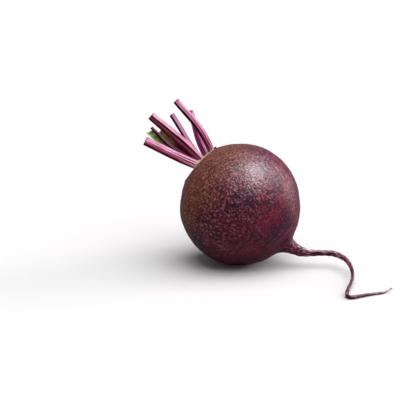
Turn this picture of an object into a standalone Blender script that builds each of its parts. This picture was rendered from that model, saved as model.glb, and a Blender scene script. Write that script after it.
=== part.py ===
"""A whole beetroot lying on its side: globe and tail, cut leaf stalks, one young leaf.

The beet rests on z = 0 with the origin at the middle of its small flat spot.  The front
is -Y, the crown with the stalks points up to the left and the tail runs off to the right.
Every long piece starts as a straight turned rod.  Its vertices are then carried by formula
to a curved centre line, with ribs, grooves and wrinkles added on the way.
"""
import math

import bmesh
import bpy
import numpy as np
from mathutils import Euler, Vector

MM = 0.001

# Globe, in millimetres and degrees
GLOBE_RADIUS = 40.8
REST_SINK = 0.7                       # how deep the flat spot cuts into the round globe
CENTRE_HEIGHT = GLOBE_RADIUS - REST_SINK
LEAN = (-29.4, -42.5, 16.3)           # turns local +Z, the way from tail to crown, up left
CROWN_FLOOR = 37.0                    # height of the crown's flat top over the centre
CROWN_FLOOR_RADIUS = 11.0
CROWN_LIP_RADIUS = 12.3
CROWN_LIP_RISE = 0.6
CROWN_EDGE_ANGLE = 26.5               # from the axis, where the round of the globe starts
NECK_ANGLE = 160.0                    # and where it ends at the tail
RING_ANGLE = 4.3                      # between the globe's rings
CROWN_OFFSET = 3.8                    # the crown sits off the axis, towards local +X
CROWN_BOW = (22.0, CROWN_FLOOR)       # heights between which that offset grows
SHOULDER_FILL = 1.3                   # how much of it the far shoulder fills in
TAIL_OFFSET = 1.2                     # and the tail leaves off the axis on the same side
TAIL_BOW = (24.0, 39.5)               # depths between which that offset grows
TAIL_FULLNESS = 0.025                 # the globe bulges a little towards the tail
TAIL_FULLNESS_ANGLE = 28.0
LOBE_DEPTH = 0.006                    # low unevenness round the globe, as a share of radius
GLOBE_STEPS = 40

# Tail centre line on from the globe: x, y, z and radius in millimetres, tip last
TAIL = [
    (28.6, -11.8, 15.8, 13.2),
    (30.6, -12.2, 15.4, 8.2),
    (32.2, -12.5, 15.0, 6.1),
    (34.3, -12.9, 14.2, 4.9),
    (37.6, -13.4, 12.6, 3.9),
    (41.3, -13.8, 11.2, 3.2),
    (45.8, -13.9, 10.4, 2.4),
    (50.2, -13.7, 10.2, 2.05),
    (55.4, -13.0, 10.0, 2.0),
    (61.2, -12.7, 9.7, 1.9),
    (65.3, -14.3, 9.2, 1.8),
    (69.2, -18.8, 8.5, 1.7),
    (71.8, -25.2, 7.8, 1.55),
    (73.3, -33.4, 6.9, 1.3),
    (73.7, -41.6, 6.0, 1.1),
    (73.0, -48.5, 5.0, 1.0),
    (71.7, -54.8, 4.1, 1.0),
    (69.7, -60.6, 3.2, 1.05),
    (68.3, -66.0, 2.2, 1.15),
    (67.6, -70.6, 1.4, 1.2),
    (68.0, -74.4, 1.3, 1.3),
    (71.0, -75.4, 1.3, 1.35),
    (75.2, -73.4, 1.25, 1.2),
    (80.5, -70.4, 1.05, 1.0),
    (86.1, -67.9, 0.85, 0.8),
    (92.1, -65.4, 1.0, 0.65),
    (97.5, -61.7, 2.4, 0.4),
]
TAIL_RINGS_PER_SPAN = 2
TAIL_RIDGE_DEPTH = 0.10               # lengthwise ridges of the tail, as a share of radius
TAIL_WRINKLE_DEPTH = 0.05
TAIL_RIDGES = 3
TAIL_TWIST = 0.09                     # turn of the ridges, radians for each millimetre

# Stalks, in the globe's own frame: x to the upper right, y to the back, z out of the crown
STALK_GAP = 0.3                       # clearance between the crown and a stalk's foot
STALK_STEPS = 26
STALK_RINGS = 13
# Each stalk: centre line, widths and thicknesses from foot to tip, and its grooves as
# (angle from the front in degrees, half width in degrees, depth as a share of the radius)
STALKS = {
    "stalk_1": {
        "line": [(-1.0, -5.6, 37.3), (-6.3, -5.1, 50.5), (-11.1, -5.2, 64.6),
                 (-14.7, -5.9, 75.0)],
        "width": (6.3, 6.4, 6.3, 6.0),
        "thickness": (4.2, 4.2, 4.0, 3.8),
        "grooves": [(-58, 11, 0.12), (-20, 10, 0.13), (14, 10, 0.12), (52, 11, 0.12),
                    (180, 30, 0.22)],
    },
    "stalk_2": {
        "line": [(2.7, -0.3, 37.3), (2.5, -1.2, 54.6), (1.7, -1.9, 66.0), (0.0, -2.9, 84.8)],
        "width": (5.8, 6.9, 6.6, 5.4),
        "thickness": (4.0, 4.4, 4.4, 4.2),
        "grooves": [(4, 13, 0.34), (42, 10, 0.12), (-52, 11, 0.08), (180, 26, 0.12)],
    },
    "stalk_3": {
        "line": [(3.4, 5.7, 37.3), (5.2, 5.7, 52.7), (8.1, 5.9, 64.6), (10.9, 6.0, 76.7)],
        "width": (3.4, 3.5, 3.6, 3.7),
        "thickness": (3.1, 3.2, 3.2, 3.2),
        "grooves": [(38, 15, 0.16), (-40, 14, 0.08), (180, 30, 0.12)],
    },
    "stalk_4": {
        "line": [(11.3, -2.0, 37.3), (14.3, -2.3, 44.5), (17.6, -2.0, 58.0),
                 (19.3, -0.4, 80.3)],
        "width": (4.4, 4.8, 4.7, 4.3),
        "thickness": (4.0, 4.3, 4.1, 3.6),
        "grooves": [(36, 16, 0.24), (-14, 11, 0.18), (-60, 12, 0.08), (180, 28, 0.14)],
    },
    "stalk_5": {
        "line": [(7.6, 3.0, 37.3), (9.3, 3.9, 44.8), (13.6, 5.2, 54.8), (21.8, 6.8, 69.5)],
        "width": (5.2, 5.0, 4.4, 3.4),
        "thickness": (3.4, 3.4, 3.2, 2.8),
        "grooves": [(-30, 14, 0.12), (34, 16, 0.16), (180, 30, 0.12)],
    },
    "young_leaf_stalk": {
        "line": [(-0.2, 3.3, 37.3), (-2.4, 2.9, 49.0), (-4.9, 2.8, 62.2), (-5.3, 2.7, 79.8)],
        "width": (2.6, 2.9, 2.8, 2.1),
        "thickness": (2.4, 2.5, 2.4, 1.9),
        "grooves": [(-40, 20, 0.14), (35, 16, 0.10)],
    },
}

# Blade of the young leaf, a thin fold along the back of its stalk
BLADE_THICKNESS = 0.7
BLADE_START = 8.0                     # distance from the stalk's foot where it begins
BLADE_LEFT_WIDTH = 5.0
BLADE_RIGHT_WIDTH = 5.6
BLADE_LEFT_FOOT = 0.25                # share of its width that each wing has at its start
BLADE_RIGHT_FOOT = 0.55
BLADE_SLANT = 0.05                    # the middle ends this share short of the left margin
BLADE_RIGHT_REACH = 0.84              # the right wing ends short of the cut tip
BLADE_FOLD = 1.9                      # how far the wings come forward at their margins
BLADE_WAVE = 0.5
BLADE_LENGTH_CELLS = 18
BLADE_WIDTH_CELLS = 10

# Withered bud at the edge of the crown
BUD_LINE = [(12.2, 4.0, 37.35), (13.2, 4.3, 38.7), (14.9, 4.6, 39.3), (16.7, 4.7, 39.2)]
BUD_RADII = (1.4, 1.2, 0.95, 0.5)
BUD_TIP = 0.15                        # how far the rounded tip stands beyond the last ring
BUD_STEPS = 14
BUD_RINGS = 8

# Each piece's colour (linear) and roughness
FINISHES = {
    "swollen_root": ((0.085, 0.022, 0.035), 0.55),
    "stalk_1": ((0.42, 0.10, 0.20), 0.38),
    "stalk_2": ((0.30, 0.04, 0.11), 0.38),
    "stalk_3": ((0.38, 0.08, 0.20), 0.38),
    "stalk_4": ((0.32, 0.03, 0.11), 0.36),
    "stalk_5": ((0.28, 0.03, 0.14), 0.38),
    "young_leaf_stalk": ((0.22, 0.07, 0.14), 0.42),
    "young_leaf_blade": ((0.19, 0.31, 0.04), 0.5),
    "withered_bud": ((0.02, 0.012, 0.012), 0.8),
}


def clear_scene():
    for old in list(bpy.context.scene.objects):
        bpy.data.objects.remove(old, do_unlink=True)


def make_collection(name):
    collection = bpy.data.collections.new(name)
    bpy.context.scene.collection.children.link(collection)
    return collection


def make_material(piece_name):
    colour, roughness = FINISHES[piece_name]
    material = bpy.data.materials.new(piece_name + "_surface")
    material.use_nodes = True
    shader = material.node_tree.nodes["Principled BSDF"]
    shader.inputs["Base Color"].default_value = (*colour, 1.0)
    shader.inputs["Roughness"].default_value = roughness
    shader.inputs["Metallic"].default_value = 0.0
    material.diffuse_color = (*colour, 1.0)
    return material


def smooth(t):
    """Smooth step from 0 to 1 as t goes from 0 to 1."""
    t = np.clip(t, 0.0, 1.0)
    return t * t * (3.0 - 2.0 * t)


def unit(vectors):
    return vectors / np.linalg.norm(vectors, axis=-1, keepdims=True)


def catmull_rom(points, samples_per_span=24):
    """Samples of the smooth curve that passes through every control point."""
    points = np.asarray(points, float)
    before = 2.0 * points[0] - points[1]
    after = 2.0 * points[-1] - points[-2]
    knots = np.vstack([before, points, after])
    t = np.linspace(0.0, 1.0, samples_per_span, endpoint=False)[:, None]
    spans = []
    for a, b, c, d in zip(knots, knots[1:], knots[2:], knots[3:]):
        spans.append(0.5 * (2.0 * b + (c - a) * t + (2.0 * a - 5.0 * b + 4.0 * c - d) * t**2
                            + (3.0 * b - a - 3.0 * c + d) * t**3))
    return np.vstack(spans + [points[-1:]])


def lengths_along(curve):
    """Distance travelled along the curve at each of its points."""
    steps = np.linalg.norm(np.diff(curve[:, :3], axis=0), axis=1)
    return np.concatenate([[0.0], np.cumsum(steps)])


def even_along(curve, count):
    """The curve sampled at even steps of length, and the length at each sample."""
    travelled = lengths_along(curve)
    stations = np.linspace(0.0, travelled[-1], count)
    samples = [np.interp(stations, travelled, curve[:, k]) for k in range(curve.shape[1])]
    return np.stack(samples, axis=1), stations


def turned_rod(name, radii, stations, steps):
    """A straight rod turned about Z: station 0 is at the top and the rest run down -Z."""
    profile = bpy.data.meshes.new(name)
    points = [(r * MM, 0.0, -s * MM) for r, s in zip(radii, stations)]
    profile.from_pydata(points, [(i, i + 1) for i in range(len(points) - 1)], [])
    rod = bpy.data.objects.new(name, profile)
    bpy.context.scene.collection.objects.link(rod)
    screw = rod.modifiers.new("turn", "SCREW")
    screw.axis = "Z"
    screw.angle = 2.0 * math.pi
    screw.steps = steps
    screw.render_steps = steps
    screw.use_merge_vertices = True
    screw.merge_threshold = 0.00001
    turned = bpy.data.meshes.new_from_object(rod.evaluated_get(
        bpy.context.evaluated_depsgraph_get()))
    bpy.data.objects.remove(rod, do_unlink=True)
    bpy.data.meshes.remove(profile)
    turned.name = name
    return turned


def carry(mesh, stations, centres, sides, fronts, relief):
    """Move a straight rod's vertices to a curved centre line.

    A vertex at station s, angle a and radius r goes to centre(s) + r * relief(s, a, r) *
    (cos a * side(s) + sin a * front(s)).
    """
    flat = np.empty(len(mesh.vertices) * 3)
    mesh.vertices.foreach_get("co", flat)
    x, y, z = flat.reshape(-1, 3).T / MM
    s = -z
    r = np.hypot(x, y)
    a = np.arctan2(y, x)
    shape = relief(s, a, r)
    if np.ndim(shape) == 1:
        shape = np.stack([shape, shape], axis=1)
    centre, side, front = (
        np.stack([np.interp(s, stations, table[:, k]) for k in range(3)], axis=1)
        for table in (centres, sides, fronts))
    placed = (centre + (r * np.cos(a) * shape[:, 0])[:, None] * side
              + (r * np.sin(a) * shape[:, 1])[:, None] * front)
    mesh.vertices.foreach_set("co", (placed * MM).ravel())


def finish_object(mesh, name, collection, parent):
    mesh.materials.append(make_material(name))
    mesh.shade_smooth()
    mesh.set_sharp_from_angle(angle=math.radians(50.0))
    piece = bpy.data.objects.new(name, mesh)
    piece.parent = parent
    collection.objects.link(piece)
    return piece


def globe_bow(z):
    """Sideways offset of the globe's rings: the crown and the tail sit off the axis."""
    to_crown = smooth((z - CROWN_BOW[0]) / (CROWN_BOW[1] - CROWN_BOW[0]))
    to_tail = smooth((-z - TAIL_BOW[0]) / (TAIL_BOW[1] - TAIL_BOW[0]))
    return CROWN_OFFSET * to_crown + TAIL_OFFSET * to_tail


def globe_profile():
    """Radius and height of the globe's rings, from the crown's middle to the tail's neck."""
    crown = [(0.0, CROWN_FLOOR), (3.6, CROWN_FLOOR), (7.4, CROWN_FLOOR),
             (CROWN_FLOOR_RADIUS, CROWN_FLOOR),
             (CROWN_LIP_RADIUS - 0.5, CROWN_FLOOR + CROWN_LIP_RISE),
             (CROWN_LIP_RADIUS + 0.2, CROWN_FLOOR + 0.8 * CROWN_LIP_RISE)]
    rings = []
    for angle in np.arange(CROWN_EDGE_ANGLE, NECK_ANGLE, RING_ANGLE):
        bulge = 1.0 + TAIL_FULLNESS * math.exp(-((180.0 - angle) / TAIL_FULLNESS_ANGLE)**2)
        z = GLOBE_RADIUS * bulge * math.cos(math.radians(angle))
        near_side_loss = globe_bow(z) if z > 0.0 else 0.0
        rings.append((GLOBE_RADIUS * bulge * math.sin(math.radians(angle)) - near_side_loss, z))
    return np.array(crown + rings)


def transported_frames(directions, side):
    """Side and front vectors that follow the directions without twisting about them."""
    sides = []
    for direction in directions:
        side = side - direction * (side @ direction)
        side = side / np.linalg.norm(side)
        sides.append(side)
    sides = np.array(sides)
    return sides, np.cross(sides, directions)


def root_relief(tail_start):
    """Fuller far shoulder and low lobes on the globe, ridges and wrinkles on the tail."""
    def relief(s, a, r):
        on_tail = smooth((s - tail_start - 2.0) / 14.0)
        lobes = LOBE_DEPTH * (np.cos(2.0 * a + 0.8) + 0.7 * np.cos(3.0 * a + s * 0.03)
                              + 0.5 * np.sin(5.0 * a + s * 0.06))
        lobes = lobes * smooth((s - 1.0) / 16.0)
        z = CROWN_FLOOR - s
        shoulder = (z > 0.0) & (r > CROWN_LIP_RADIUS + 1.0)
        far_side = (0.5 - 0.5 * np.cos(a))**2
        fill = np.where(shoulder, SHOULDER_FILL * globe_bow(z) * far_side / (r + 1e-6), 0.0)
        ridges = TAIL_RIDGE_DEPTH * np.cos(TAIL_RIDGES * a + TAIL_TWIST * s)
        wrinkles = TAIL_WRINKLE_DEPTH * np.sin(1.25 * s + 2.0 * np.sin(a) + a)
        return 1.0 + fill + lobes * (1.0 - on_tail) + (ridges + wrinkles) * on_tail
    return relief


def make_root(frame, collection):
    """Globe, crown and tail as one grown piece."""
    world_to_frame = frame.matrix_basis.inverted()
    tail_points = []
    for x, y, z, radius in TAIL:
        local = world_to_frame @ (Vector((x, y, z)) * MM) / MM
        tail_points.append((*local, radius))
    tail = catmull_rom(tail_points, TAIL_RINGS_PER_SPAN)
    travelled = lengths_along(tail)
    globe = globe_profile()
    globe = globe[globe[:, 1] > tail[0, 2] + 1.0]
    globe_centres = np.stack([globe_bow(globe[:, 1]), 0.0 * globe[:, 1], globe[:, 1]], axis=1)
    globe_stations = CROWN_FLOOR - globe[:, 1]
    join = np.linalg.norm(tail[0, :3] - globe_centres[-1])
    tail_start = globe_stations[-1] + join

    down = np.tile((0.0, 0.0, -1.0), (len(globe), 1))
    tangents = unit(np.gradient(tail[:, :3], axis=0))
    turned_over = smooth((travelled - 1.0) / 9.0)[:, None]
    directions = np.vstack([down, unit((1.0 - turned_over) * down[:1] + turned_over * tangents)])
    sides, fronts = transported_frames(directions, np.array((1.0, 0.0, 0.0)))

    tip = tail[-1]
    radii = np.concatenate([globe[:, 0], tail[:, 3], [0.0]])
    stations = np.concatenate([globe_stations, tail_start + travelled])
    centres = np.vstack([globe_centres, tail[:, :3]])
    tip_station = stations[-1] + 0.6 * tip[3]
    mesh = turned_rod("swollen_root", radii, np.append(stations, tip_station), GLOBE_STEPS)

    order = np.argsort(stations, kind="stable")
    end = centres[-1] + directions[-1] * (tip_station - stations[-1])
    table = [np.vstack([rows[order], last]) for rows, last in
             ((centres, end), (sides, sides[-1]), (fronts, fronts[-1]))]
    carry(mesh, np.append(stations[order], tip_station), *table, root_relief(tail_start))
    flatten_on_ground(mesh, frame)
    return finish_object(mesh, "swollen_root", collection, frame)


def flatten_on_ground(mesh, frame):
    """Every vertex below the ground plane is lifted onto it, which leaves the flat spot."""
    to_world = frame.matrix_basis
    to_local = to_world.inverted()
    for vertex in mesh.vertices:
        spot = to_world @ vertex.co
        if spot.z < 0.0:
            spot.z = 0.0
            vertex.co = to_local @ spot


def grooved(grooves, flatness):
    """Cross section with rounded grooves; flatness is thickness over width at a station."""
    def relief(s, a, r):
        from_front = np.degrees((a + 0.5 * math.pi) % (2.0 * math.pi)) - 180.0
        depth = np.zeros_like(a)
        for angle, half_width, share in grooves:
            away = (from_front - angle + 180.0) % 360.0 - 180.0
            depth = depth + share * np.exp(-(away / half_width)**2)
        across = 1.0 - depth
        return np.stack([across, across * flatness(s)], axis=1)
    return relief


def stalk_centre_line(spec):
    """Rings along a stalk: centres, side and front vectors, stations and half widths."""
    rows = [(*point, 0.5 * width, 0.5 * thick) for point, width, thick in
            zip(spec["line"], spec["width"], spec["thickness"])]
    rings, stations = even_along(catmull_rom(rows), STALK_RINGS)
    tangents = unit(np.gradient(rings[:, :3], axis=0))
    straight_up = np.array((0.0, 0.0, 1.0))
    leans = smooth(stations / 9.0)[:, None]
    tangents = unit((1.0 - leans) * straight_up + leans * tangents)
    fronts = unit(np.array((0.0, -1.0, 0.0)) + tangents * tangents[:, 1:2])
    sides = np.cross(tangents, fronts)
    return rings, stations, tangents, sides, fronts


def make_stalk(name, spec, collection, frame):
    """A cut leaf stalk: a rod with lengthwise grooves and both ends cut square."""
    rings, stations, tangents, sides, fronts = stalk_centre_line(spec)
    half_width = rings[:, 3]
    flatness = rings[:, 4] / rings[:, 3]
    radii = np.concatenate([[0.0, 0.6 * half_width[0]], half_width,
                            [0.6 * half_width[-1], 0.0]])
    ends = np.concatenate([[0.0, 0.0], stations, [stations[-1], stations[-1]]])
    mesh = turned_rod(name, radii, ends, STALK_STEPS)
    relief = grooved(spec["grooves"], lambda s: np.interp(s, stations, flatness))
    carry(mesh, stations, rings[:, :3], sides, fronts, relief)
    return finish_object(mesh, name, collection, frame)


def make_blade(collection, frame):
    """The young leaf's blade: a thin sheet behind its stalk, folded forward at both margins."""
    spec = STALKS["young_leaf_stalk"]
    rings, stations, tangents, sides, fronts = stalk_centre_line(spec)
    sheet = bmesh.new()
    bmesh.ops.create_grid(sheet, x_segments=BLADE_LENGTH_CELLS, y_segments=BLADE_WIDTH_CELLS,
                          size=1.0)
    length = stations[-1]
    for vertex in sheet.verts:
        along = 0.5 * (vertex.co.x + 1.0)
        across = vertex.co.y
        reach = 1.0 - BLADE_SLANT * (1.0 + min(across, 0.0))
        reach = reach + (BLADE_RIGHT_REACH - 1.0 + BLADE_SLANT) * smooth((across + 0.1) / 0.35)
        s = BLADE_START + (length - BLADE_START) * along * reach
        if across < 0.0:
            width = BLADE_LEFT_WIDTH
            spread = BLADE_LEFT_FOOT + (1.0 - BLADE_LEFT_FOOT) * smooth(along * 1.25 - 0.2)
        else:
            width = BLADE_RIGHT_WIDTH
            spread = BLADE_RIGHT_FOOT + (1.0 - BLADE_RIGHT_FOOT) * smooth(along * 1.1)
        centre, side, front = (
            np.array([np.interp(s, stations, rows[:, k]) for k in range(3)])
            for rows in (rings[:, :3], sides, fronts))
        behind = np.interp(s, stations, rings[:, 4]) + STALK_GAP + 0.5 * BLADE_THICKNESS
        fold = BLADE_FOLD + BLADE_WAVE * math.sin(5.0 * along * math.pi)
        fold = fold * spread * across**2
        place = centre + across * width * spread * side + (fold - behind) * front
        vertex.co = Vector(place) * MM
    mesh = bpy.data.meshes.new("young_leaf_blade")
    sheet.to_mesh(mesh)
    sheet.free()
    blade = finish_object(mesh, "young_leaf_blade", collection, frame)
    wall = blade.modifiers.new("thickness", "SOLIDIFY")
    wall.thickness = BLADE_THICKNESS * MM
    wall.offset = 0.0
    return blade


def make_bud(collection, frame):
    """A small dried-up bud that leans out over the crown's rim."""
    rows = [(*point, radius) for point, radius in zip(BUD_LINE, BUD_RADII)]
    rings, stations = even_along(catmull_rom(rows), BUD_RINGS)
    tangents = unit(np.gradient(rings[:, :3], axis=0))
    leans = smooth(stations / 2.5)[:, None]
    tangents = unit((1.0 - leans) * np.array((0.0, 0.0, 1.0)) + leans * tangents)
    sides, fronts = transported_frames(tangents, np.array((1.0, 0.0, 0.0)))
    radii = np.concatenate([[0.0], rings[:, 3], [0.0]])
    tip_station = stations[-1] + BUD_TIP
    ends = np.concatenate([[0.0], stations, [tip_station]])
    mesh = turned_rod("withered_bud", radii, ends, BUD_STEPS)
    end = rings[-1, :3] + tangents[-1] * BUD_TIP
    carry(mesh, np.append(stations, tip_station), np.vstack([rings[:, :3], end]),
          np.vstack([sides, sides[-1]]), np.vstack([fronts, fronts[-1]]),
          lambda s, a, r: 1.0 + 0.12 * np.cos(4.0 * a + s))
    return finish_object(mesh, "withered_bud", collection, frame)


def main():
    clear_scene()
    collection = make_collection("beetroot")
    frame = bpy.data.objects.new("globe_frame", None)
    frame.location = (0.0, 0.0, CENTRE_HEIGHT * MM)
    frame.rotation_euler = Euler([math.radians(angle) for angle in LEAN])
    collection.objects.link(frame)
    bpy.context.view_layer.update()

    make_root(frame, collection)
    for name, spec in STALKS.items():
        make_stalk(name, spec, collection, frame)
    make_blade(collection, frame)
    make_bud(collection, frame)


main()
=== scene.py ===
"""Dresses a whole beetroot: rough skin, cut crimson stalks, a young leaf and a dried bud.

Lengths are in millimetres until a mesh is made.  The globe's own frame has z out of the
crown, x to the picture's upper right and y away from the viewer.  Each piece is a grid of
rings and steps, worked out as whole arrays, that stands for the plain solid of its name.
"""
import math

import bpy
import numpy as np
from mathutils import Euler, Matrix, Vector


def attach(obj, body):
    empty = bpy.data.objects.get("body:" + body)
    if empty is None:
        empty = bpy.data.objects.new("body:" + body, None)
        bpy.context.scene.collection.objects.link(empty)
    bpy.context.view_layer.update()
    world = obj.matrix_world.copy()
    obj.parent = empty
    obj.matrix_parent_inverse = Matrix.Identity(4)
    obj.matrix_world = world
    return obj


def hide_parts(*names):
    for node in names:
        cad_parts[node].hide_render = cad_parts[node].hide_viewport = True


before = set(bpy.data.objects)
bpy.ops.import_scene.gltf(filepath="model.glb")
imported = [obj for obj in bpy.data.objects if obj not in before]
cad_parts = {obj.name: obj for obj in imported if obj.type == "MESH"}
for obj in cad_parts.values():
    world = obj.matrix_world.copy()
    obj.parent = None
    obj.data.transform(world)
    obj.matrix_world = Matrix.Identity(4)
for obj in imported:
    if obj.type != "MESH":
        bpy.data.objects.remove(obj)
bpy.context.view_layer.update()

MM = 0.001
TAU = 2.0 * math.pi

# Globe, as in the solid
GLOBE_RADIUS = 40.8
CENTRE_HEIGHT = 40.1
LEAN = (-29.4, -42.5, 16.3)           # degrees
CROWN_FLOOR = 37.0
CROWN_FLOOR_RADIUS = 11.0
CROWN_LIP_RADIUS = 12.3
CROWN_LIP_RISE = 0.6
CROWN_EDGE_ANGLE = 26.5
NECK_ANGLE = 160.0
RING_ANGLE = 4.3
CROWN_OFFSET = 3.8
CROWN_BOW = (22.0, CROWN_FLOOR)
SHOULDER_FILL = 1.3
TAIL_OFFSET = 1.2
TAIL_BOW = (24.0, 39.5)
TAIL_FULLNESS = 0.025
TAIL_FULLNESS_ANGLE = 28.0
LOBE_DEPTH = 0.006

# Tail centre line: x, y, z and radius, tip last
TAIL = [
    (28.6, -11.8, 15.8, 13.2),
    (30.6, -12.2, 15.4, 8.2),
    (32.2, -12.5, 15.0, 6.1),
    (34.3, -12.9, 14.2, 4.9),
    (37.6, -13.4, 12.6, 3.9),
    (41.3, -13.8, 11.2, 3.2),
    (45.8, -13.9, 10.4, 2.4),
    (50.2, -13.7, 10.2, 2.05),
    (55.4, -13.0, 10.0, 2.0),
    (61.2, -12.7, 9.7, 1.9),
    (65.3, -14.3, 9.2, 1.8),
    (69.2, -18.8, 8.5, 1.7),
    (71.8, -25.2, 7.8, 1.55),
    (73.3, -33.4, 6.9, 1.3),
    (73.7, -41.6, 6.0, 1.1),
    (73.0, -48.5, 5.0, 1.0),
    (71.7, -54.8, 4.1, 1.0),
    (69.7, -60.6, 3.2, 1.05),
    (68.3, -66.0, 2.2, 1.15),
    (67.6, -70.6, 1.4, 1.2),
    (68.0, -74.4, 1.3, 1.3),
    (71.0, -75.4, 1.3, 1.35),
    (75.2, -73.4, 1.25, 1.2),
    (80.5, -70.4, 1.05, 1.0),
    (86.1, -67.9, 0.85, 0.8),
    (92.1, -65.4, 1.0, 0.65),
    (97.5, -61.7, 2.4, 0.4),
]
TAIL_CAD_RINGS_PER_SPAN = 2
TAIL_RIDGE_DEPTH = 0.10
TAIL_WRINKLE_DEPTH = 0.05
TAIL_RIDGES = 3
TAIL_TWIST = 0.09

# Fineness of the root's surface
RINGS_PER_ROW = 5
GLOBE_STEPS = 384
TAIL_STEPS = 64
THIN_TAIL_RADIUS = 6.0                # below this radius the rings have only TAIL_STEPS

# Marks on the globe's skin as (polar angle and azimuth at one end, the same at the other,
# half width in mm): dark scars are sunk, pale scratches only lie on the surface
DARK_SCARS = [
    (65.0, -69.5, 74.5, -68.5, 0.42), (85.0, -84.0, 97.5, -83.0, 0.40),
    (88.0, -89.0, 96.0, -88.0, 0.28), (78.0, -99.0, 84.0, -98.0, 0.28),
    (104.0, -92.0, 110.0, -93.0, 0.22), (72.0, 40.0, 81.0, 42.0, 0.40),
    (96.0, 128.0, 104.0, 127.0, 0.35), (58.0, 171.0, 66.0, 173.0, 0.40),
    (88.0, -158.0, 99.0, -156.0, 0.38), (110.0, 12.0, 119.0, 13.0, 0.30),
]
PALE_SCRATCHES = [
    (112.0, -93.0, 136.0, -98.0, 0.22), (117.0, -99.0, 140.0, -107.0, 0.20),
    (153.0, -96.0, 150.5, -42.0, 0.25), (147.5, -101.0, 146.0, -66.0, 0.20),
    (142.0, -112.0, 143.5, -90.0, 0.22), (139.0, -120.0, 137.0, -92.0, 0.18),
    (100.0, -72.0, 105.0, -74.0, 0.24), (92.0, -78.0, 95.5, -78.5, 0.24),
]

# Worn tan bands down the globe's flanks as (azimuth, half width, first and last polar angle,
# strength).  The first band, on the right flank, is wear and a painted rim reflection.
WORN_AND_SHEEN_BANDS = [
    (-36.0, 11.0, 78.0, 152.0, 1.0), (38.0, 14.0, 70.0, 128.0, 0.6),
    (104.0, 10.0, 84.0, 140.0, 0.8), (171.0, 13.0, 72.0, 118.0, 0.5),
    (-136.0, 9.0, 92.0, 134.0, 0.5),
]

# Leaf scars on the crown as (radius from its middle, first and last angle, height, half
# width): low ridges left where outer leaves have dropped off
LEAF_SCARS = [
    (8.6, -142.0, -38.0, 1.9, 0.85), (10.3, -20.0, 58.0, 1.1, 0.6),
    (9.6, 75.0, 128.0, 1.3, 0.7), (10.6, 146.0, 206.0, 1.0, 0.6),
    (7.4, 170.0, 214.0, 1.2, 0.6), (6.9, 62.0, 104.0, 1.0, 0.5),
]

COLLAR_HEIGHT = 1.5                   # how far crown tissue swells up round a stalk's foot
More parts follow.
